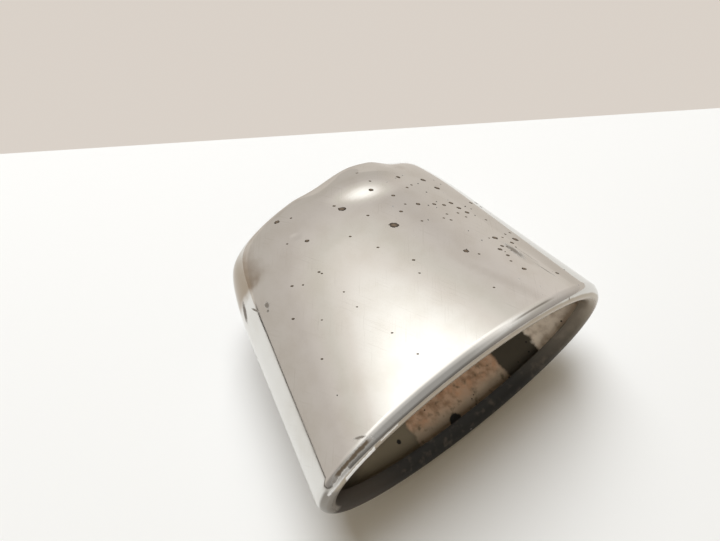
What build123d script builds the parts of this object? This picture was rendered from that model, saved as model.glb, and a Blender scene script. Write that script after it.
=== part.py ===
from build123d import *
import math
import os

# Oval exhaust tip pressed from one sheet: a flared oval body with its edge rolled in at the mouth,
# a rounded shoulder at the back, and a collar turned in round the inlet for the tail pipe.
# The axis runs along X, out of the mouth, and Z is up. The origin is the centre of the inlet, where its
# straight bore starts. Stations are counted along the axis from the back wall.

# Sheet and body, in millimetres and degrees
sheet = 1.2
mouth_width = 120.0
mouth_height = 55.0
mouth_lean = 11.5
body_length = 87.0
back_width = 88.0

# Rounded shoulder at the back
shoulder_length = 28.0
shoulder_side_inset = 4.6

# Edge rolled in round the mouth, and the flat that it returns with
lip_radius = 3.3
lip_return = 1.5

# Collar that slips over the tail pipe
pipe_diameter = 40.0
pipe_clearance = 0.3
collar_length = 14.0
collar_bend = 1.0

# Flat of the back wall above and below the collar's bend
back_land = 1.6

# Swell pressed up on top of the shoulder
swell_height = 2.0
swell_station = 10.0
swell_side = 12.8
swell_reach_along = 10.0
swell_reach_across = 21.4
swell_turn = -14.0

# Rise of the back edge behind the swell, and the hollow beside it
rise_height = 0.9
rise_side = 11.5
rise_reach_along = 6.0
rise_reach_across = 8.8
hollow_depth = 1.1
hollow_side = -3.9
hollow_reach_along = 7.0
hollow_reach_across = 9.2

# Dent in the back edge beside the swell
dent_depth = 4.2
dent_station = -8.0
dent_side = 30.6
dent_reach_along = 21.7
dent_reach_across = 12.4

# Points round each ring, and rings along each curved stretch
ring_points = 48
shoulder_rings = 13
lip_rings = 13

mouth_station = body_length - lip_radius
side_slope = (mouth_width - back_width) / 2 / mouth_station
bore_radius = pipe_diameter / 2 + pipe_clearance
collar_radius = bore_radius + sheet
shoulder_top_inset = mouth_height / 2 - bore_radius - collar_bend - back_land


def mound(along, side, reach_along, reach_across):
    """Height of a smooth mound, 1 at its centre and 0 from its oval foot outwards."""
    distance = math.hypot(along / reach_along, side / reach_across)
    return max(0.0, 1 - distance**2) ** 2


def relief(along, side):
    """How far the top of the sheet is pressed up or down at a place seen from above."""
    ahead = along - swell_station
    aside = side - swell_side
    turn = math.radians(swell_turn)
    swell_along = ahead * math.cos(turn) + aside * math.sin(turn)
    swell_across = aside * math.cos(turn) - ahead * math.sin(turn)
    swell = mound(swell_along, swell_across, swell_reach_along, swell_reach_across)
    rise = mound(along, side - rise_side, rise_reach_along, rise_reach_across)
    hollow = mound(along, side - hollow_side, hollow_reach_along, hollow_reach_across)
    dent = mound(along - dent_station, side - dent_side, dent_reach_along, dent_reach_across)
    return swell_height * swell + rise_height * rise - hollow_depth * hollow - dent_depth * dent


def ring(station, half_width, half_height, lean=0.0):
    """Closed oval ring round the axis, with its top tipped back by lean degrees."""
    points = []
    for step in range(ring_points):
        angle = 2 * math.pi * step / ring_points
        side = half_width * math.cos(angle)
        height = half_height * math.sin(angle)
        along = station - height * math.tan(math.radians(lean))
        if height > 0:
            height += relief(along, side)
        points.append((along, side, height))
    even_steps = [step / ring_points for step in range(ring_points + 1)]
    return Wire([Edge.make_spline(points, periodic=True, parameters=even_steps)])


def shoulder(inset):
    """Rings of a shoulder skin that lies inset inside the outer face, from the back wall to the body."""
    rings = []
    for step in range(shoulder_rings):
        turn = math.radians(90) * step / (shoulder_rings - 1)
        fall = 1 - math.sin(turn)
        station = inset + (shoulder_length - inset) * (1 - math.cos(turn))
        half_width = back_width / 2 + side_slope * station - inset - (shoulder_side_inset - inset) * fall
        half_height = mouth_height / 2 - inset - (shoulder_top_inset - inset) * fall
        rings.append(ring(station, half_width, half_height))
    return rings


def lip(inset):
    """Rings of a lip skin that lies inset inside the outer face, from the body round to its flat return."""
    rings = []
    for step in range(lip_rings):
        turn = math.radians(180) * step / (lip_rings - 1)
        depth = lip_radius - (lip_radius - inset) * math.cos(turn)
        station = mouth_station + (lip_radius - inset) * math.sin(turn)
        rings.append(ring(station, mouth_width / 2 - depth, mouth_height / 2 - depth, mouth_lean))
    return rings


def edge_ring(inset):
    """Ring at the end of the lip's flat return."""
    depth = 2 * lip_radius - inset
    return ring(mouth_station - lip_return, mouth_width / 2 - depth, mouth_height / 2 - depth, mouth_lean)


def skin(inset):
    """Faces of one side of the sheet, and the ring at the free edge of its lip."""
    shoulder_part = shoulder(inset)
    lip_part = lip(inset)
    last_ring = edge_ring(inset)
    back_wall = Face(shoulder_part[0])
    back = Shell.make_loft(shoulder_part)
    body = Shell.make_loft([shoulder_part[-1], lip_part[0]], ruled=True)
    front = Shell.make_loft(lip_part)
    flat = Shell.make_loft([lip_part[-1], last_ring], ruled=True)
    faces = [back_wall, *back.faces(), *body.faces(), *front.faces(), *flat.faces()]
    return faces, last_ring


def pressed_sheet():
    """The sheet from the back wall to the free edge of the lip, before the inlet is opened."""
    outside, outer_edge = skin(0.0)
    inside, inner_edge = skin(sheet)
    free_edge = Shell.make_loft([outer_edge, inner_edge], ruled=True).faces()
    sewn = Face.sew_faces([*outside, *inside, *free_edge])
    return Solid(Shell(sewn[0]))


def inlet_tube(radius):
    """Solid cylinder on the axis, from the back wall to the end of the collar."""
    return Plane.YZ * Cylinder(radius, collar_length, align=(Align.CENTER, Align.CENTER, Align.MIN))


def exhaust_tip():
    """The pressed sheet with its collar turned in round the inlet."""
    opened = pressed_sheet() + inlet_tube(collar_radius) - inlet_tube(bore_radius)
    entry = opened.edges().filter_by(GeomType.CIRCLE).group_by(Axis.X)[0]
    return Pos(-collar_bend, 0, 0) * fillet(entry, collar_bend)


os.makedirs("parts", exist_ok=True)
export_step(exhaust_tip(), "parts/tip_shell.step")
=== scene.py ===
from collections import namedtuple
import math
import random

import bpy
from mathutils import Matrix, Vector


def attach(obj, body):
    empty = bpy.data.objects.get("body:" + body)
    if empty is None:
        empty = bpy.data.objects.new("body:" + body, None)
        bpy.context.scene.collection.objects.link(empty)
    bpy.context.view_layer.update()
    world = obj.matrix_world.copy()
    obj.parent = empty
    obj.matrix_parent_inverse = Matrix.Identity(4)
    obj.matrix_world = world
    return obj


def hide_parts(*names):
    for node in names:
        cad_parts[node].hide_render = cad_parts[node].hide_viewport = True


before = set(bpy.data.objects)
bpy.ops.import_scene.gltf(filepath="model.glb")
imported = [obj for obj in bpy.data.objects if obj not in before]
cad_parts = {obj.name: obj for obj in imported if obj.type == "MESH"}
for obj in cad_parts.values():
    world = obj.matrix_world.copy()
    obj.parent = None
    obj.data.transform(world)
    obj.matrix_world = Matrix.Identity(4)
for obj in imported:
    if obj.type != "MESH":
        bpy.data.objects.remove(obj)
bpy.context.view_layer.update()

# The looks of an oval exhaust tip: one polished sheet with a rolled lip, rust spots and a sooty inside.
# Lengths are in millimetres, but those of the table and the lamps are in metres.
# Stations are counted along the axis from the back wall.
MM = 0.001

# Sheet and body
SHEET = 1.2
MOUTH_WIDTH = 120.0
MOUTH_HEIGHT = 55.0
MOUTH_LEAN = 11.5
BODY_LENGTH = 87.0
BACK_WIDTH = 88.0
SHOULDER_LENGTH = 28.0
SHOULDER_SIDE_INSET = 4.6
SHOULDER_TOP_INSET = 4.6
LIP_RADIUS = 3.3
LIP_RETURN = 1.5
MOUTH_STATION = BODY_LENGTH - LIP_RADIUS
SIDE_SLOPE = (MOUTH_WIDTH - BACK_WIDTH) / 2 / MOUTH_STATION

# Crease where the lip starts: how far its roll is flattened, over what run, and how near the last ring is
CREASE_DEPTH = 0.17
CREASE_RUN = 1.2
CREASE_WIDTH = 0.8

# Collar round the inlet
BORE_RADIUS = 20.3
COLLAR_RADIUS = BORE_RADIUS + SHEET
COLLAR_LENGTH = 14.0
COLLAR_BEND = 1.0

# Forms pressed into the top of the shoulder: station, side, reach along, reach across, height, turn
SWELL = (10.0, 12.8, 10.0, 21.4, 2.0, -14.0)
RISE = (0.0, 11.5, 6.0, 8.8, 0.9, 0.0)
HOLLOW = (0.0, -3.9, 7.0, 9.2, -1.1, 0.0)
DENT = (-8.0, 30.6, 21.7, 12.4, -4.2, 0.0)

# Fineness of the rings
RING_POINTS = 192
BEND_STEPS = 5
SHOULDER_STEPS = 32
BODY_STEPS = 10
LIP_STEPS = 24
SMOOTH_ANGLE = 35.0

# Rust spots on the top: along the axis from the inlet, to the side, and length
RUST_SPOTS = (
    (14.8, -2.1, 2.7), (30.2, 7.9, 3.3), (14.3, 10.4, 1.7), (12.1, -3.4, 1.1), (17.4, -17.9, 1.6),
    (3.2, -21.1, 2.1), (17.6, 31.3, 2.2), (23.1, 33.3, 2.2), (13.7, 22.7, 1.6), (18.9, 22.6, 1.1),
    (18.5, 25.0, 0.9), (19.8, 15.7, 1.4), (27.1, 20.8, 1.6), (29.6, 26.0, 1.4), (31.4, 29.1, 1.5),
    (31.5, 32.4, 1.8), (26.9, 13.5, 1.3), (34.6, 33.4, 1.8), (37.5, 34.7, 1.9), (39.2, 32.5, 0.9),
    (38.1, 26.3, 1.0), (33.7, 17.0, 0.9), (36.3, 24.6, 0.9), (36.5, 31.1, 1.0), (35.3, 26.9, 0.9),
    (25.0, 16.8, 0.9), (22.2, 3.2, 1.0), (5.0, 11.2, 0.9), (11.2, 12.2, 0.9), (25.4, -6.3, 0.9),
    (34.1, -1.6, 0.9), (44.4, 4.7, 1.1), (50.9, 21.4, 2.0), (54.0, 24.4, 0.9), (49.2, 3.2, 0.8),
    (66.2, 19.3, 0.8), (42.9, 39.1, 1.0), (33.3, 41.2, 1.6), (33.1, 44.5, 1.5), (35.7, 44.5, 1.1),
    (51.2, 34.9, 2.1), (54.5, 42.2, 2.5), (55.4, 39.3, 1.5), (55.1, 34.4, 1.4), (55.9, 32.5, 1.7),
    (56.1, 35.8, 0.9), (59.1, 33.0, 1.4), (61.4, 32.1, 1.0), (65.9, 33.7, 1.7), (72.5, 43.7, 1.4),
    (29.2, -21.2, 1.0), (30.2, -20.8, 0.8), (26.8, -30.2, 1.1), (29.1, -27.4, 0.8), (39.9, -19.1, 0.7),
    (46.5, -18.9, 0.7), (35.7, -35.8, 1.1), (42.6, -29.4, 0.7), (52.3, -36.1, 0.9), (5.9, -16.9, 0.9),
    (13.4, -23.3, 0.8), (59.8, -15.7, 0.8), (69.5, -13.8, 0.8), (51.1, 43.2, 1.1), (51.2, 40.4, 1.0),
    (52.1, 37.9, 0.9), (50.4, 32.8, 0.7), (57.5, 33.4, 0.6),
)

# Form of a rust spot: turn of its long side, width by length, rise, raggedness, fineness and seed of the draw
SPOT_TURN = 54.0
SPOT_SHARE = 0.55
SPOT_RISE = 0.05
SPOT_RAGGED = 0.18
SPOT_FINENESS = 3
SPOT_SEED = 7

# Room as the metal shows it, at half its brightness: height, tipped towards the mouth, and colour
ROOM_BY_HEIGHT = (
    (0.0, (0.302, 0.277, 0.252)),
    (0.40, (0.329, 0.301, 0.278)),
    (0.53, (0.372, 0.343, 0.317)),
    (0.64, (0.404, 0.381, 0.347)),
    (0.72, (0.487, 0.456, 0.423)),
    (0.80, (0.66, 0.643, 0.61)),
    (0.86, (0.83, 0.80, 0.765)),
    (1.0, (0.85, 0.82, 0.78)),
)
ROOM_TILT = 0.44
ROOM_STRENGTH = 2.0
WALL = (0.35, 0.32, 0.29)
HORIZON_SOFT = 0.002

# Dim front and bright side of the room: the directions that they fade over, and how dim or bright they get
FRONT_FADE = (-0.1, 0.5)
FRONT_DARKEST_FADE = (0.25, 0.75)
FRONT_DARKEST = (0.24, 0.6)
SIDE_FADE = (0.66, 1.0)
SIDE_BRIGHTEST = 1.28

# Dark line at the table's end: colour, and the directions that it lies in
TABLE_END = (0.05, 0.046, 0.041)
TABLE_END_UP = (-0.03, 0.017)
TABLE_END_SOFT = 0.005
TABLE_END_SIDE = (-0.25, -0.45)
TABLE_END_FRONT = (-0.66, -0.61)

# Share of the room's light that falls on matt surfaces, and the lamp that gives them the rest
SOFT_LIGHT = (0.215, 0.186, 0.138)
SOFT_FRONT = 0.8
LAMP_PLACE = (-1.15, 0.42, 1.74)
LAMP_WIDTH = 1.6
LAMP_HEIGHT = 1.6
LAMP_POWER = 61.5
LAMP_COLOUR = (0.915, 0.955, 1.0)

# Fill lamp in front of the mouth
FILL_PLACE = (0.45, -0.16, 0.60)
FILL_SIZE = 0.4
FILL_POWER = 2.1

# Table under the tip: size, a point on its far edge, the way that this edge faces, and colour
TABLE_SIZE = 6.0
TABLE_EDGE = (-0.0485, 0.0572, 0)
TABLE_EDGE_FACING = (-0.8549, 0.5189, 0)
TABLE_COLOUR = (0.9, 0.895, 0.88)

# Reach of every patch and scratch up and down through the tip
PATCH_REACH = 1000.0

# Patches on the finishes, seen from above: centre, reach, turn, and how soft and ragged the edge is
SPECKLED = (
    ((30.0, 30.0), (22.0, 17.0), 20.0, 0.5, 0.25),
    ((58.0, 36.0), (16.0, 9.0), 10.0, 0.5, 0.25),
)
STAINS = (
    ((77.6, -40.6), (1.5, 0.4), 64.0, 0.5, 0.7),
    ((25.2, -39.4), (1.1, 0.7), 0.0, 0.4, 0.5),
    ((26.9, -40.2), (0.5, 0.4), 0.0, 0.4, 0.3),
    ((18.7, -45.6), (3.2, 0.55), -21.0, 0.4, 0.3),
    ((22.6, -43.0), (1.6, 0.25), 15.0, 0.4, 0.4),
    ((58.6, 36.9), (3.6, 0.95), 12.0, 0.6, 0.6),
    ((61.9, 39.8), (3.9, 0.10), 14.0, 0.6, 0.4),
    ((69.8, 40.7), (3.7, 0.17), 16.4, 0.6, 0.4),
    ((81.5, 39.6), (0.5, 0.2), -37.0, 0.4, 0.3),
)
BROWNED = (
    ((7.0, 28.2), (2.6, 2.2), 54.0, 0.8, 0.5),
)
DULL_STREAKS = (
    ((67.0, 24.5), (13.0, 1.6), 27.6, 0.9, 0.5),
    ((63.4, 38.3), (3.8, 1.6), 23.0, 0.5, 0.3),
)
DING = ((13.2, -20.0), (1.3, 0.9), 54.0, 0.9, 0.0)
SOOT_LEFT = (
    ((85.0, -2.2), (3.1, 2.7), 0.0, 0.15, 0.5),
    ((78.8, -24.2), (0.9, 0.8), 0.0, 0.3, 0.25),
)

# Depth of the ding against the waves in the polish, and height of the waves
DING_DEPTH = 2.5
WAVE_HEIGHT = 0.04

# Fine scratches in the polish: length, gap, and the ways that they run
SCRATCH_LENGTH = 16.0
SCRATCH_GAP = 0.45
SCRATCH_TURNS = (28.0, -38.0)

# Streaks that run along the top of the lip, the first set painted highlights on its worn and bumped left end
# and the second dark smears: from side to side, and from turn to turn of the lip
LIP_HIGHLIGHTS = (
    (-49.5, -38.5, 0.38, 0.62),
    (-36.0, -30.0, 0.36, 0.40),
    (-53.5, -47.5, 0.20, 0.32),
    (-55.6, -54.0, 0.22, 0.30),
)
LIP_SMEARS = (
    (-52.0, -38.5, 0.06, 0.20),
    (-53.3, -51.6, 0.10, 0.20),
)

# How soft these streaks are at their ends, to the side, and along their edges, by the turn of the lip
LIP_HIGHLIGHT_SOFT = (0.4, 0.02)
LIP_SMEAR_SOFT = (1.6, 0.045)

# Specks of rust, dust and soot: spacing, size, and the share of their places that are taken
THICK_SPECKS = (2.6, 0.42, 0.45)
SPARSE_SPECKS = (7.0, 0.4, 0.35)
DUST_SPECKS = (4.5, 0.35, 0.2)
SOOT_SPECKS = (3.0, 0.5, 0.4)
SPECK_CORE = 0.5
SPECK_SOFT = 0.05

# Random patterns in the finishes: size of the blots, and fineness of their detail
HAZE = (9.0, 5.0)
WAVES = (16.0, 1.0)
SCRATCH_LINES = (1.0, 3.0)
SCRATCH_GROUPS = (13.0, 2.0)
SOOT_BLOTS = (3.0, 6.0)
MOTTLE = (3.5, 8.0)
ORANGE_BLOTS = (6.0, 3.0)
DARK_BLOTS = (2.4, 2.0)
RAGGED_DETAIL = 4.0

# Values of these patterns between which what they draw fades in
HAZE_SHOWS = (0.35, 0.75)
HAZE_ROUGHENS = (0.3, 0.8)
SCRATCH_LINES_SHOW = (0.58, 0.70)
SCRATCH_GROUPS_SHOW = (0.40, 0.60)
SOOT_BROWNS = (0.5, 0.75)
MOTTLE_PALES = (0.3, 0.62)
ORANGE_SHOWS = (0.52, 0.66)
DARK_SHOWS = (0.55, 0.78)
RUST_PALES = (0.85, 0.3)

# Ragged edges: size of the blots that push an edge about, and how far they push it
BACK_TINT_RAGGED = (5.0, 2.5)
LEFT_TINT_END_RAGGED = (3.0, 1.5)
LEFT_TINT_SIDE_RAGGED = (3.0, 2.0)
LIP_FILM_RAGGED = (4.0, 0.03)
LIP_SOOT_RAGGED = (3.0, 0.6)
STREAK_END_RAGGED = (1.5, 1.2)
STREAK_EDGE_RAGGED = (1.2, 0.05)
TAN_RAGGED = (3.5, 1.8)
DUSKY_RAGGED = (4.0, 3.0)
RUST_RAGGED = (0.6, 0.3)

# Where the heat tint and the painted shade down the right side fade in, along the axis or to the side
BACK_TINT = (2.0, -2.5)
LEFT_TINT_END = (18.0, 14.0)
LEFT_TINT_SIDE = (-31.0, -41.0)
SHADED_SIDE = (41.0, 47.0)

# Where the film and the dirt on the lip fade in, by the turn of the lip, to the side or by height
LIP_START = (0.0, 0.04)
UPPER_LIP = (5.0, 8.0)
LIP_FILM_TURN = (0.30, 0.37)
INNER_FILM_TURN = (0.45, 0.62)
DIRT_TURN = (0.06, 0.11)
DIRT_TURN_SOFT = 0.025
DIRT_SIDES = (17.0, 32.0)
DIRT_SIDES_SOFT = 4.0
GREY_END_SIDE = (-51.0, -54.0)
GREY_END_HEIGHT = (11.0, 8.5)
GREY_END_TURN = (0.06, 0.16)

# Soot on the lip: heights from one side to the other where it starts and is full, and its two ends
LIP_SOOT_SIDES = (-50.0, 50.0)
LIP_SOOT_STARTS = (-2.5, 11.0)
LIP_SOOT_FULL = (-5.0, -24.0)
LIP_SOOT_TURN = (0.14, 0.26)
SOOT_SHIFT_SIDE = (-50.0, -54.0)
SOOT_SHIFT_TURN = 0.2
SOOT_END_SIDE = (-30.0, -40.0)
SOOT_END_TURN = (0.42, 0.52)
SOOT_END_HEIGHT = (8.0, 5.0)
SOOT_BROWN_SIDE = (-25.0, -48.0)

# Where the finishes inside the tip lie or fade in, to the side, along the axis or by height
OLIVE_START = (-50.0, -38.0)
OLIVE_END = (-14.0, -20.0)
# The two tan patches are painted light that falls in through the back, and the dark strip between them is
# painted shadow
LIT_TAN_SIDES = (-18.0, 24.5)
LIT_GREY_TAN_SIDES = (39.0, 70.0)
TAN_SOFT = 0.7
# Painted shade: the tan goes greyer and darker towards the lip
DUSKY_ALONG = (76.0, 83.0)
DULL_SHEET_HEIGHT = (-4.0, 6.0)

# How strongly the fainter marks show
SCRATCH_SHARE = 0.3
BACK_TINT_SHARE = 0.4
BROWNED_SHARE = 0.4
DULL_STREAK_SHARE = 0.45
SHADED_SIDE_SHARE = 0.5
DIRT_SHARE = 0.85
GREY_END_SHARE = 0.9
STAIN_SHARE = 0.85
INNER_FILM_SHARE = 0.7
ORANGE_SHARE = 0.6
DUSKY_SHARE = 0.75
DARK_SHARE = 0.75
GREY_TAN_METAL = 0.45

# Roughness and specular level of the finishes
POLISH_ROUGH = (0.05, 0.11)
SCRATCH_ROUGH = 0.06
HIGHLIGHT_ROUGH = 0.42
MARRED_ROUGH = 0.5
INSIDE_ROUGH = 0.6
RUST_ROUGH = 0.7
TABLE_ROUGH = 0.7
POLISH_SPECULAR = 0.25
INSIDE_SPECULAR = 0.2

# Colours of the finishes
CHROME = (0.745, 0.738, 0.715)
CHROME_HAZY = (0.70, 0.685, 0.65)
CHROME_DULL = (0.58, 0.56, 0.525)
HEAT_TINT = (0.37, 0.31, 0.245)
LIP_FILM = (0.40, 0.345, 0.275)
GREY_FILM = (0.22, 0.20, 0.175)
STAIN = (0.105, 0.08, 0.055)
# Near-white metal for the painted highlights on the worn left end of the lip
HIGHLIGHT_WHITE = (0.97, 0.96, 0.94)
SOOT = (0.013, 0.012, 0.01)
SOOT_BROWN = (0.05, 0.041, 0.032)
SOOT_DUSTY = (0.06, 0.051, 0.037)
DUST = (0.30, 0.28, 0.25)
# Tan rust inside, in colours bright enough to paint the light that falls on it through the back
TAN_DEEP = (0.25, 0.15, 0.088)
TAN_PALE = (0.51, 0.34, 0.228)
TAN_ORANGE = (0.52, 0.29, 0.17)
# Greyer, darker tan near the lip, partly painted shade
DUSKY = (0.36, 0.31, 0.235)
TAN_GREY_DEEP = (0.60, 0.50, 0.39)
TAN_GREY = (0.86, 0.76, 0.63)
OLIVE = (0.19, 0.162, 0.113)
OLIVE_DARK = (0.11, 0.09, 0.055)
DULL_SHEET = (0.6, 0.56, 0.5)
RUST = (0.055, 0.043, 0.033)
RUST_PALE = (0.16, 0.12, 0.085)

# Camera at the photograph's place, in millimetres and degrees
CAMERA_PLACE = (108.21, -62.74, 182.57)
CAMERA_TURN = (29.409, 0.009, 53.891)
CAMERA_LENS = 28.53
CAMERA_SENSOR = 36.0
CAMERA_NEAR = 10.0

Ring = namedtuple("Ring", "station half_width half_height zone lip_turn")


def bore_rings():
    """Rings of the bore from its inner end, and of the bend that leads out to the back wall."""
    rings = [Ring(COLLAR_LENGTH, BORE_RADIUS, BORE_RADIUS, "bore", 0.0)]
    for step in range(BEND_STEPS + 1):
        turn = math.radians(90) * step / BEND_STEPS
        station = COLLAR_BEND * (1 - math.sin(turn))
        radius = BORE_RADIUS + COLLAR_BEND * (1 - math.cos(turn))
        rings.append(Ring(station, radius, radius, "bore", 0.0))
    return rings


def shoulder_rings(inset, zone):
    """Rings of the rounded shoulder, inset inside the outer face."""
    rings = []
    for step in range(SHOULDER_STEPS + 1):
        turn = math.radians(90) * step / SHOULDER_STEPS
        fall = 1 - math.sin(turn)
        station = inset + (SHOULDER_LENGTH - inset) * (1 - math.cos(turn))
        half_width = BACK_WIDTH / 2 + SIDE_SLOPE * station - inset - (SHOULDER_SIDE_INSET - inset) * fall
        half_height = MOUTH_HEIGHT / 2 - inset - (SHOULDER_TOP_INSET - inset) * fall
        rings.append(Ring(station, half_width, half_height, zone, 0.0))
    return rings


def body_rings(inset, zone):
    """Rings of the straight sides, with the last one close to the crease at the lip."""
    run = MOUTH_STATION - SHOULDER_LENGTH
    stations = [SHOULDER_LENGTH + run * step / BODY_STEPS for step in range(1, BODY_STEPS)]
    rings = []
    for station in stations + [MOUTH_STATION - CREASE_WIDTH]:
        half_width = BACK_WIDTH / 2 + SIDE_SLOPE * station - inset
        rings.append(Ring(station, half_width, MOUTH_HEIGHT / 2 - inset, zone, 0.0))
    return rings


def lip_rings(inset, zone):
    """Rings of the lip, creased where its roll starts and ends, and of its flat return to the free edge."""
    rings = []
    for step in range(LIP_STEPS + 1):
        turn = math.radians(180) * step / LIP_STEPS
        ahead = (LIP_RADIUS - inset) * math.sin(turn)
        flattened = CREASE_DEPTH * (1 - (1 - min(ahead / CREASE_RUN, 1.0)) ** 2)
        depth = LIP_RADIUS - (LIP_RADIUS - inset - flattened) * math.cos(turn)
        station = MOUTH_STATION + ahead
        half_width = MOUTH_WIDTH / 2 - depth
        half_height = MOUTH_HEIGHT / 2 - depth
        rings.append(Ring(station, half_width, half_height, zone, step / LIP_STEPS))
    return rings + [rings[-1]._replace(station=MOUTH_STATION - LIP_RETURN)]


def skin_rings(inset, zone):
    """Rings of one side of the sheet, from the back wall to the free edge of the lip."""
    return shoulder_rings(inset, zone) + body_rings(inset, zone) + lip_rings(inset, zone)


def sheet_rings():
    """All rings of the sheet: out of the bore, over the outside and the lip, and back along the inside."""
    outside = skin_rings(0.0, "outside")
    inside = skin_rings(SHEET, "inside")
    collar_start = Ring(SHEET, COLLAR_RADIUS, COLLAR_RADIUS, "collar", 0.0)
    collar_end = collar_start._replace(station=COLLAR_LENGTH)
    return bore_rings() + outside + inside[::-1] + [collar_start, collar_end]


def place_ring(last, ring):
    """Moves and scales the selected ring from the place and size of the last one."""
    bpy.ops.transform.translate(value=((ring.station - last.station) * MM, 0, 0))
    wider = ring.half_width / last.half_width
    taller = ring.half_height / last.half_height
    bpy.ops.transform.resize(value=(1, wider, taller), center_override=(0, 0, 0))


def roll_sheet(rings):
    """The closed sheet, extruded ring by ring from a circle."""
    bpy.ops.object.select_all(action="DESELECT")
    bpy.ops.mesh.primitive_circle_add(vertices=RING_POINTS, radius=1.0, rotation=(0, math.radians(90), 0))
    shell = bpy.context.object
    shell.name = "tip_shell_polished"
    bpy.ops.object.transform_apply(location=True, rotation=True, scale=True)
    bpy.ops.object.mode_set(mode="EDIT")
    bpy.ops.mesh.select_mode(type="EDGE")
    bpy.ops.mesh.select_all(action="SELECT")
    place_ring(Ring(0.0, 1 / MM, 1 / MM, "", 0.0), rings[0])
    for last, ring in zip(rings, rings[1:]):
        bpy.ops.mesh.extrude_region()
        place_ring(last, ring)
    bpy.ops.mesh.select_all(action="DESELECT")
    bpy.ops.mesh.select_non_manifold()
    bpy.ops.mesh.bridge_edge_loops()
    bpy.ops.mesh.select_all(action="SELECT")
    bpy.ops.mesh.normals_make_consistent(inside=False)
    bpy.ops.object.mode_set(mode="OBJECT")
    return shell


def mound(along, side, station, centre, reach_along, reach_across, height, turn):
    """Height of a smooth mound at a place seen from above."""
    ahead = along - station
    aside = side - centre
    turned = math.radians(turn)
    far_along = (ahead * math.cos(turned) + aside * math.sin(turned)) / reach_along
    far_across = (aside * math.cos(turned) - ahead * math.sin(turned)) / reach_across
    return height * max(0.0, 1 - math.hypot(far_along, far_across) ** 2) ** 2


def press_sheet(shell, rings):
    """Leans the mouth back, presses the forms of the shoulder, and moves the inlet to the part's origin."""
    lean = math.tan(math.radians(MOUTH_LEAN))
    run = MOUTH_STATION - SHOULDER_LENGTH
    for index, vertex in enumerate(shell.data.vertices):
        ring = rings[index // RING_POINTS]
        along, side, height = vertex.co / MM
        share = 1.0 if ring.lip_turn > 0 else min(max((along - SHOULDER_LENGTH) / run, 0.0), 1.0)
        along -= height * lean * share
        if height > 0 and ring.zone in ("outside", "inside"):
            height += sum(mound(along, side, *form) for form in (SWELL, RISE, HOLLOW, DENT))
        vertex.co = Vector((along - COLLAR_BEND, side, height)) * MM


def mark_lip(shell, rings):
    """Writes how far each point has turned round the lip, and gives the inside faces the second finish."""
    lip_turn = shell.data.attributes.new("lip_turn", "FLOAT", "POINT")
    for index in range(len(shell.data.vertices)):
        lip_turn.data[index].value = rings[index // RING_POINTS].lip_turn
    for face in shell.data.polygons:
        zones = {rings[index // RING_POINTS].zone for index in face.vertices}
        face.material_index = 0 if "outside" in zones else 1


def make_shell():
    """The polished shell, in the place and form of the CAD one."""
    rings = sheet_rings()
    shell = roll_sheet(rings)
    press_sheet(shell, rings)
    shell.data.materials.append(polished_sheet())
    shell.data.materials.append(sooty_inside())
    mark_lip(shell, rings)
    bpy.ops.object.shade_smooth_by_angle(angle=math.radians(SMOOTH_ANGLE))
    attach(shell, "root")
    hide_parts("tip_shell")
    return shell


def new_finish(name):
    """A new material, its node tree and its Principled shader."""
    finish = bpy.data.materials.new(name)
    finish.use_nodes = True
    tree = finish.node_tree
    return finish, tree, tree.nodes["Principled BSDF"]


def add_node(tree, kind, inputs, **settings):
    """A new node, with its inputs linked or set by socket name or number."""
    node = tree.nodes.new("ShaderNode" + kind)
    for key, value in settings.items():
        setattr(node, key, value)
    for key, value in inputs.items():
        socket = node.inputs[key]
        if isinstance(value, bpy.types.NodeSocket):
            tree.links.new(value, socket)
        else:
            socket.default_value = value
    return node


def fade(tree, value, start, end, low=0.0, high=1.0):
    """A smooth fade from low to high as value runs from start to end."""
    inputs = {"Value": value, "From Min": start, "From Max": end, "To Min": low, "To Max": high}
    return add_node(tree, "MapRange", inputs, interpolation_type="SMOOTHSTEP").outputs["Result"]


def combine(tree, operation, first, second):
    """One number from two."""
    return add_node(tree, "Math", {0: first, 1: second}, operation=operation).outputs["Value"]


def both(tree, first, second):
    """Where both masks are set."""
    return combine(tree, "MULTIPLY", first, second)


def either(tree, *masks):
    """Where any of the masks is set."""
    joined = masks[0]
    for mask in masks[1:]:
        joined = combine(tree, "MAXIMUM", joined, mask)
    return joined


def faint(tree, mask, share):
    """The mask at a share of its strength."""
    return combine(tree, "MULTIPLY", mask, share)


def blend_colours(tree, share, first, second):
    """The first colour turning into the second by share."""
    node = add_node(tree, "Mix", {"Factor": share}, data_type="RGBA")
    for socket, colour in ((node.inputs[6], first), (node.inputs[7], second)):
        if isinstance(colour, bpy.types.NodeSocket):
            tree.links.new(colour, socket)
        else:
            socket.default_value = (*colour, 1.0)
    return node.outputs[2]


def lay_over(tree, colour, layers):
    """The colour with each layer's own colour laid over it where its mask is set."""
    for mask, over in layers:
        colour = blend_colours(tree, mask, colour, over)
    return colour


def place_on_piece(tree):
    """The point on the piece in millimetres, and how far it is along the axis, to the side and up."""
    metres = add_node(tree, "TexCoord", {}).outputs["Object"]
    point = add_node(tree, "VectorMath", {0: metres, "Scale": 1 / MM}, operation="SCALE").outputs["Vector"]
    split = add_node(tree, "SeparateXYZ", {"Vector": point})
    return point, split.outputs["X"], split.outputs["Y"], split.outputs["Z"]


def cloud(tree, point, size, detail):
    """A soft random pattern between 0 and 1, with blots of about the given size."""
    inputs = {"Vector": point, "Scale": 1 / size, "Detail": detail}
    return add_node(tree, "TexNoise", inputs).outputs["Fac"]


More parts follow.
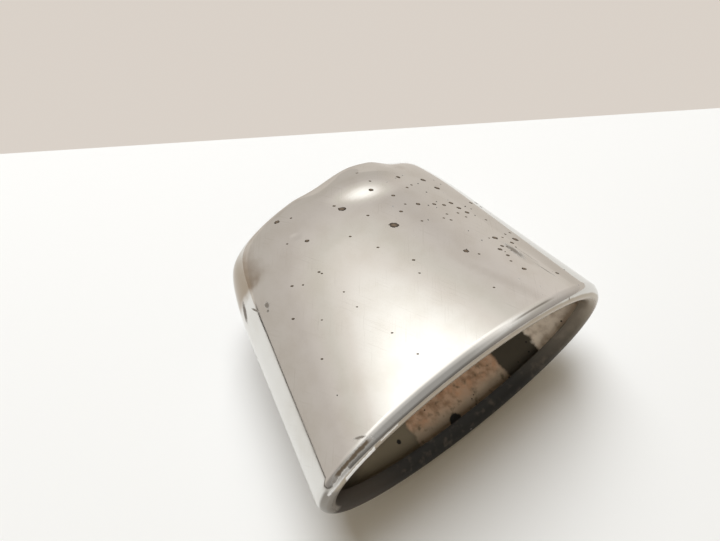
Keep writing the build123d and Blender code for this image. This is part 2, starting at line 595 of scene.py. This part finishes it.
def ragged(tree, point, value, size, amount):
    """The value pushed up and down at random, so that an edge drawn with it is ragged."""
    push = combine(tree, "SUBTRACT", cloud(tree, point, size, RAGGED_DETAIL), 0.5)
    return combine(tree, "ADD", value, combine(tree, "MULTIPLY", push, 2 * amount))


def band(tree, value, start, end, soft):
    """1 between start and end, with soft edges."""
    rise = fade(tree, value, start - soft, start + soft)
    fall = fade(tree, value, end + soft, end - soft)
    return both(tree, rise, fall)


def patch(tree, point, centre, reach, turn, soft, rough):
    """An oval patch seen from above, with a ragged edge."""
    place = {
        "Vector": point,
        "Location": (*centre, 0),
        "Rotation": (0, 0, math.radians(turn)),
        "Scale": (*reach, PATCH_REACH),
    }
    inner = add_node(tree, "Mapping", place, vector_type="TEXTURE").outputs["Vector"]
    far = add_node(tree, "VectorMath", {0: inner}, operation="LENGTH").outputs["Value"]
    return fade(tree, ragged(tree, point, far, min(reach), rough), 1 + soft, 1 - soft)


def marks(tree, point, places):
    """Several oval patches as one mask."""
    return either(tree, *[patch(tree, point, *place) for place in places])


def specks(tree, point, spacing, size, share):
    """Small round specks strewn at random."""
    strewn = add_node(tree, "TexVoronoi", {"Vector": point, "Scale": 1 / spacing})
    near = fade(tree, strewn.outputs["Distance"], size / spacing, size / spacing * SPECK_CORE)
    drawn = add_node(tree, "SeparateColor", {"Color": strewn.outputs["Color"]}).outputs["Red"]
    return both(tree, near, fade(tree, drawn, share + SPECK_SOFT, share - SPECK_SOFT))


def scratches(tree, point, turn):
    """Fine polishing scratches that run one way, in loose groups."""
    place = {
        "Vector": point,
        "Rotation": (0, 0, math.radians(turn)),
        "Scale": (SCRATCH_LENGTH, SCRATCH_GAP, PATCH_REACH),
    }
    stretched = add_node(tree, "Mapping", place, vector_type="TEXTURE").outputs["Vector"]
    drawn = fade(tree, cloud(tree, stretched, *SCRATCH_LINES), *SCRATCH_LINES_SHOW)
    return both(tree, drawn, fade(tree, cloud(tree, point, *SCRATCH_GROUPS), *SCRATCH_GROUPS_SHOW))


def heat_tint(tree, point, along, side):
    """Where heat has browned the polish: at the back edge, on the left of the shoulder and in patches."""
    back_edge = fade(tree, ragged(tree, point, along, *BACK_TINT_RAGGED), *BACK_TINT, 0.0, BACK_TINT_SHARE)
    left_end = fade(tree, ragged(tree, point, along, *LEFT_TINT_END_RAGGED), *LEFT_TINT_END)
    left_side = fade(tree, ragged(tree, point, side, *LEFT_TINT_SIDE_RAGGED), *LEFT_TINT_SIDE)
    browned = faint(tree, marks(tree, point, BROWNED), BROWNED_SHARE)
    return either(tree, back_edge, both(tree, left_side, left_end), browned)


def dull_polish_and_side_shade(tree, point, side):
    """Where the polish has gone dull in streaks, and painted shade that darkens the right side."""
    streaked = faint(tree, marks(tree, point, DULL_STREAKS), DULL_STREAK_SHARE)
    # Painted shade: the right side is darkened towards the dull colour
    return either(tree, streaked, fade(tree, side, *SHADED_SIDE, 0.0, SHADED_SIDE_SHARE))


def dirty_lip(tree, side, height, turn):
    """Grey dirt on the lip: a line along its start on the right, and a film over its left end."""
    line = band(tree, turn, *DIRT_TURN, DIRT_TURN_SOFT)
    line = both(tree, line, band(tree, side, *DIRT_SIDES, DIRT_SIDES_SOFT))
    line = both(tree, line, fade(tree, height, *UPPER_LIP, 0.0, DIRT_SHARE))
    left_end = both(tree, fade(tree, side, *GREY_END_SIDE), fade(tree, height, *GREY_END_HEIGHT))
    left_end = both(tree, left_end, fade(tree, turn, *GREY_END_TURN, 0.0, GREY_END_SHARE))
    return either(tree, line, left_end)


def lip_streaks(tree, point, side, height, turn, streaks, soft_end, soft_edge):
    """Ragged streaks along the upper lip, with soft ends and edges."""
    across = ragged(tree, point, side, *STREAK_END_RAGGED)
    round_lip = ragged(tree, point, turn, *STREAK_EDGE_RAGGED)
    drawn = []
    for start, end, low, high in streaks:
        length = band(tree, across, start, end, soft_end)
        drawn.append(both(tree, length, band(tree, round_lip, low, high, soft_edge)))
    upper_lip = both(tree, fade(tree, turn, *LIP_START), fade(tree, height, *UPPER_LIP))
    return both(tree, either(tree, *drawn), upper_lip)


def sooty_lip(tree, point, side, height, turn):
    """Soot on the lower part of the lip: a sharp end on one side and a long fade on the other."""
    start = fade(tree, side, *LIP_SOOT_SIDES, *LIP_SOOT_STARTS)
    full = fade(tree, side, *LIP_SOOT_SIDES, *LIP_SOOT_FULL)
    rough_height = ragged(tree, point, height, *LIP_SOOT_RAGGED)
    further_in = combine(tree, "SUBTRACT", turn, fade(tree, side, *SOOT_SHIFT_SIDE, 0.0, SOOT_SHIFT_TURN))
    outer = both(tree, fade(tree, rough_height, start, full), fade(tree, further_in, *LIP_SOOT_TURN))
    inner_end = both(tree, fade(tree, side, *SOOT_END_SIDE), fade(tree, further_in, *SOOT_END_TURN))
    return either(tree, outer, both(tree, inner_end, fade(tree, rough_height, *SOOT_END_HEIGHT)))


def soot_colour(tree, point, side):
    """Colour of the soot on the lip: browner on the left and in blots, with specks of dust."""
    blots = fade(tree, cloud(tree, point, *SOOT_BLOTS), *SOOT_BROWNS)
    brown = either(tree, fade(tree, side, *SOOT_BROWN_SIDE), blots)
    dust = specks(tree, point, *DUST_SPECKS)
    return lay_over(tree, SOOT, ((brown, SOOT_BROWN), (dust, DUST)))


def fine_rust(tree, point):
    """Fine rust specks: thick in the speckled patches, and a few all over."""
    thick = both(tree, specks(tree, point, *THICK_SPECKS), marks(tree, point, SPECKLED))
    return either(tree, thick, specks(tree, point, *SPARSE_SPECKS))


def polish_roughness(tree, haze, scratched, highlighted):
    """Roughness of the polish: more in the haze, along the scratches and under the painted highlights on the
    lip.
    """
    rough = fade(tree, haze, *HAZE_ROUGHENS, *POLISH_ROUGH)
    rough = combine(tree, "ADD", rough, faint(tree, scratched, SCRATCH_ROUGH))
    return combine(tree, "MAXIMUM", rough, faint(tree, highlighted, HIGHLIGHT_ROUGH))


def polish_waves(tree, point):
    """Faint waves and a ding in the polish, as its reflections show them."""
    ding = combine(tree, "MULTIPLY", patch(tree, point, *DING), DING_DEPTH)
    waves = combine(tree, "SUBTRACT", cloud(tree, point, *WAVES), ding)
    inputs = {"Height": waves, "Distance": WAVE_HEIGHT * MM, "Strength": 1.0}
    return add_node(tree, "Bump", inputs).outputs["Normal"]


def polished_sheet():
    """Polished sheet with haze, scratches, heat tint, stains, fine rust, and soot on the lower lip."""
    finish, tree, shader = new_finish("polished_sheet")
    point, along, side, height = place_on_piece(tree)
    turn = add_node(tree, "Attribute", {}, attribute_name="lip_turn").outputs["Fac"]
    haze = cloud(tree, point, *HAZE)
    scratched = either(tree, *[scratches(tree, point, way) for way in SCRATCH_TURNS])
    filmed = fade(tree, ragged(tree, point, turn, *LIP_FILM_RAGGED), *LIP_FILM_TURN)
    smeared = lip_streaks(tree, point, side, height, turn, LIP_SMEARS, *LIP_SMEAR_SOFT)
    stained = either(tree, faint(tree, marks(tree, point, STAINS), STAIN_SHARE), smeared)
    # Painted highlights: bright streaks on the worn and bumped left end of the upper lip
    highlighted = lip_streaks(tree, point, side, height, turn, LIP_HIGHLIGHTS, *LIP_HIGHLIGHT_SOFT)
    soot = sooty_lip(tree, point, side, height, turn)
    fine = fine_rust(tree, point)
    layers = (
        (fade(tree, haze, *HAZE_SHOWS), CHROME_HAZY),
        (faint(tree, scratched, SCRATCH_SHARE), CHROME_DULL),
        (heat_tint(tree, point, along, side), HEAT_TINT),
        (dull_polish_and_side_shade(tree, point, side), CHROME_DULL),
        (filmed, LIP_FILM),
        (dirty_lip(tree, side, height, turn), GREY_FILM),
        (stained, STAIN),
        (highlighted, HIGHLIGHT_WHITE),
        (soot, soot_colour(tree, point, side)),
        (fine, RUST),
    )
    inner_film = fade(tree, turn, *INNER_FILM_TURN, 0.0, INNER_FILM_SHARE)
    marred = either(tree, soot, fine, stained, inner_film)
    rough = polish_roughness(tree, haze, scratched, highlighted)
    tree.links.new(lay_over(tree, CHROME, layers), shader.inputs["Base Color"])
    tree.links.new(combine(tree, "SUBTRACT", 1.0, marred), shader.inputs["Metallic"])
    tree.links.new(fade(tree, marred, 0.0, 1.0, rough, MARRED_ROUGH), shader.inputs["Roughness"])
    tree.links.new(polish_waves(tree, point), shader.inputs["Normal"])
    shader.inputs["Specular IOR Level"].default_value = POLISH_SPECULAR
    return finish


def lit_tan_rust(tree, point, along, mottled):
    """Colour of the tan rust, painted as lit: mottled, with orange blots, greyer near the lip and darker
    there as painted shade, and with dark blots.
    """
    orange = fade(tree, cloud(tree, point, *ORANGE_BLOTS), *ORANGE_SHOWS, 0.0, ORANGE_SHARE)
    # Painted shade: darker and greyer towards the lip
    shade_near_lip = fade(tree, ragged(tree, point, along, *DUSKY_RAGGED), *DUSKY_ALONG, 0.0, DUSKY_SHARE)
    blots = fade(tree, cloud(tree, point, *DARK_BLOTS), *DARK_SHOWS, 0.0, DARK_SHARE)
    layers = ((mottled, TAN_PALE), (orange, TAN_ORANGE), (shade_near_lip, DUSKY), (blots, OLIVE_DARK))
    return lay_over(tree, TAN_DEEP, layers)


def sooty_inside():
    """Soot on the inside, with two patches of tan rust painted as the light that falls in through the back,
    and the soot left dark between them as painted shadow.
    """
    finish, tree, shader = new_finish("sooty_inside")
    point, along, side, height = place_on_piece(tree)
    mottled = fade(tree, cloud(tree, point, *MOTTLE), *MOTTLE_PALES)
    cut_edge = ragged(tree, point, side, *TAN_RAGGED)
    olive = both(tree, fade(tree, cut_edge, *OLIVE_START), fade(tree, cut_edge, *OLIVE_END))
    # Painted light: two bright tan patches, with the soot between them left as painted shadow
    first_lit_patch = band(tree, cut_edge, *LIT_TAN_SIDES, TAN_SOFT)
    second_lit_patch = band(tree, cut_edge, *LIT_GREY_TAN_SIDES, TAN_SOFT)
    spots = either(tree, marks(tree, point, SOOT_LEFT), specks(tree, point, *SOOT_SPECKS))
    layers = (
        (olive, OLIVE),
        (first_lit_patch, lit_tan_rust(tree, point, along, mottled)),
        (second_lit_patch, blend_colours(tree, mottled, TAN_GREY_DEEP, TAN_GREY)),
        (spots, SOOT),
        (fade(tree, height, *DULL_SHEET_HEIGHT), DULL_SHEET),
    )
    tree.links.new(lay_over(tree, SOOT_DUSTY, layers), shader.inputs["Base Color"])
    tree.links.new(faint(tree, second_lit_patch, GREY_TAN_METAL), shader.inputs["Metallic"])
    shader.inputs["Roughness"].default_value = INSIDE_ROUGH
    shader.inputs["Specular IOR Level"].default_value = INSIDE_SPECULAR
    return finish


def rust():
    """Dark brown rust, paler in the middle of each spot."""
    finish, tree, shader = new_finish("rust_spots")
    point = place_on_piece(tree)[0]
    rim = add_node(tree, "Attribute", {}, attribute_name="rim").outputs["Fac"]
    pale = fade(tree, ragged(tree, point, rim, *RUST_RAGGED), *RUST_PALES)
    tree.links.new(blend_colours(tree, pale, RUST, RUST_PALE), shader.inputs["Base Color"])
    shader.inputs["Roughness"].default_value = RUST_ROUGH
    return finish


def spot_blank():
    """A round blank for the rust spots that knows how far each point is from its middle."""
    bpy.ops.object.select_all(action="DESELECT")
    bpy.ops.mesh.primitive_ico_sphere_add(subdivisions=SPOT_FINENESS, radius=1.0)
    blank = bpy.context.object
    rim = blank.data.attributes.new("rim", "FLOAT", "POINT")
    for vertex in blank.data.vertices:
        rim.data[vertex.index].value = vertex.co.xy.length
    return blank


def spot_place(shell, along, side, length):
    """The move that sinks a round blank half into the sheet, as a low oval spot."""
    above = Vector((along, side, MOUTH_HEIGHT)) * MM
    place, normal = shell.ray_cast(above, Vector((0, 0, -1)))[1:3]
    across = Vector((math.cos(math.radians(SPOT_TURN)), math.sin(math.radians(SPOT_TURN)), 0))
    long_way = (across - normal * across.dot(normal)).normalized()
    turn = Matrix((long_way, normal.cross(long_way), normal)).transposed().to_4x4()
    half = length / 2 * MM
    size = Matrix.Diagonal((half, half * SPOT_SHARE, SPOT_RISE * MM, 1.0))
    return Matrix.Translation(place) @ turn @ size


def make_rust_spots(shell):
    """Low rust spots that have grown through the polish, each sunk half into the sheet."""
    blank = spot_blank()
    draw = random.Random(SPOT_SEED)
    spots = []
    for along, side, length in RUST_SPOTS:
        place = spot_place(shell, along, side, length)
        spot = blank.copy()
        spot.data = blank.data.copy()
        bpy.context.collection.objects.link(spot)
        for vertex in spot.data.vertices:
            vertex.co *= 1 + SPOT_RAGGED * draw.uniform(-1, 1)
        spot.data.transform(place)
        spots.append(spot)
    bpy.data.objects.remove(blank)
    bpy.ops.object.select_all(action="DESELECT")
    for spot in spots:
        spot.select_set(True)
    bpy.context.view_layer.objects.active = spots[0]
    bpy.ops.object.join()
    joined = bpy.context.object
    joined.name = "rust_spots"
    joined.data.materials.append(rust())
    bpy.ops.object.shade_smooth()
    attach(joined, "root")


def make_table():
    """Pale table under the tip, cut off along its far edge behind it."""
    bpy.ops.object.select_all(action="DESELECT")
    bpy.ops.mesh.primitive_plane_add(size=TABLE_SIZE)
    table = bpy.context.object
    table.name = "table"
    bpy.ops.object.mode_set(mode="EDIT")
    bpy.ops.mesh.select_all(action="SELECT")
    bpy.ops.transform.translate(value=(0, 0, -MOUTH_HEIGHT / 2 * MM))
    bpy.ops.mesh.bisect(plane_co=TABLE_EDGE, plane_no=TABLE_EDGE_FACING, clear_outer=True)
    bpy.ops.object.mode_set(mode="OBJECT")
    finish, _, shader = new_finish("pale_table")
    shader.inputs["Base Color"].default_value = (*TABLE_COLOUR, 1.0)
    shader.inputs["Roughness"].default_value = TABLE_ROUGH
    table.data.materials.append(finish)


def room_by_height(tree, front, up):
    """Colour of the room by height, tipped towards the mouth."""
    tipped = add_node(tree, "Math", {0: front, 1: ROOM_TILT, 2: up}, operation="MULTIPLY_ADD")
    ramp = add_node(tree, "ValToRGB", {"Fac": tipped.outputs["Value"]})
    elements = ramp.color_ramp.elements
    while len(elements) < len(ROOM_BY_HEIGHT):
        elements.new(1.0)
    for element, (position, colour) in zip(elements, ROOM_BY_HEIGHT):
        element.position = position
        element.color = (*colour, 1.0)
    return ramp.outputs["Color"]


def room_level(tree, front, side, shown):
    """How bright the room is: dim in front where the metal shows it, and brighter far to the side."""
    darkest = fade(tree, side, *FRONT_DARKEST_FADE, *FRONT_DARKEST)
    start, end = FRONT_FADE
    inputs = {"Value": front, "From Min": start, "From Max": end, "To Min": 1.0, "To Max": darkest}
    level = add_node(tree, "MapRange", inputs).outputs["Result"]
    level = combine(tree, "MAXIMUM", level, combine(tree, "SUBTRACT", SOFT_FRONT, shown))
    return combine(tree, "MULTIPLY", level, fade(tree, side, *SIDE_FADE, 1.0, SIDE_BRIGHTEST))


def table_end(tree, front, side, up):
    """Where the dark line at the table's end lies."""
    line = both(tree, band(tree, up, *TABLE_END_UP, TABLE_END_SOFT), fade(tree, side, *TABLE_END_SIDE))
    return both(tree, line, fade(tree, front, *TABLE_END_FRONT))


def light_room():
    """Warm grey walls, a bright ceiling, a dim side in front and a dark line at the table's end."""
    world = bpy.data.worlds.new("studio")
    bpy.context.scene.world = world
    world.use_nodes = True
    tree = world.node_tree
    background = tree.nodes["Background"]
    split = add_node(tree, "SeparateXYZ", {"Vector": add_node(tree, "TexCoord", {}).outputs["Generated"]})
    front, side, up = split.outputs["X"], split.outputs["Y"], split.outputs["Z"]
    seen = add_node(tree, "LightPath", {})
    shown = either(tree, *[seen.outputs[f"Is {kind} Ray"] for kind in ("Camera", "Glossy", "Transmission")])
    inputs = {0: room_by_height(tree, front, up), 1: room_level(tree, front, side, shown)}
    upper = add_node(tree, "VectorMath", inputs, operation="MULTIPLY").outputs["Vector"]
    below = fade(tree, up, HORIZON_SOFT, -HORIZON_SOFT)
    room = lay_over(tree, upper, ((below, WALL), (table_end(tree, front, side, up), TABLE_END)))
    soft = add_node(tree, "VectorMath", {0: room, 1: SOFT_LIGHT}, operation="MULTIPLY").outputs["Vector"]
    tree.links.new(blend_colours(tree, shown, soft, room), background.inputs["Color"])
    background.inputs["Strength"].default_value = ROOM_STRENGTH


def add_lamp(name, place, power):
    """A soft lamp aimed at the tip, which the metal doesn't show."""
    bpy.ops.object.light_add(type="AREA", location=place)
    lamp = bpy.context.object
    lamp.name = name
    lamp.data.energy = power
    lamp.rotation_euler = (-Vector(place)).to_track_quat("-Z", "Y").to_euler()
    lamp.visible_glossy = False
    return lamp


def make_lamp():
    """Soft lamp high behind the tip, so that the shadow falls in front of the mouth."""
    lamp = add_lamp("soft_lamp", LAMP_PLACE, LAMP_POWER)
    lamp.data.shape = "RECTANGLE"
    lamp.data.size = LAMP_WIDTH
    lamp.data.size_y = LAMP_HEIGHT
    lamp.data.color = LAMP_COLOUR


def make_fill(shell):
    """Fill lamp in front of the mouth that lights the inside of the tip and leaves the table's shadow."""
    fill = add_lamp("fill_lamp", FILL_PLACE, FILL_POWER)
    fill.data.size = FILL_SIZE
    lit = bpy.data.collections.new("lit_by_fill")
    lit.objects.link(shell)
    fill.light_linking.receiver_collection = lit


def make_camera():
    """Camera at the photograph's place."""
    camera = bpy.data.objects.new("camera", bpy.data.cameras.new("camera"))
    bpy.context.collection.objects.link(camera)
    camera.location = Vector(CAMERA_PLACE) * MM
    camera.rotation_euler = [math.radians(turn) for turn in CAMERA_TURN]
    camera.data.lens = CAMERA_LENS
    camera.data.sensor_width = CAMERA_SENSOR
    camera.data.clip_start = CAMERA_NEAR * MM
    bpy.context.scene.camera = camera


shell = make_shell()
make_rust_spots(shell)
make_table()
light_room()
make_lamp()
make_fill(shell)
make_camera()
bpy.context.scene.view_settings.view_transform = "Standard"
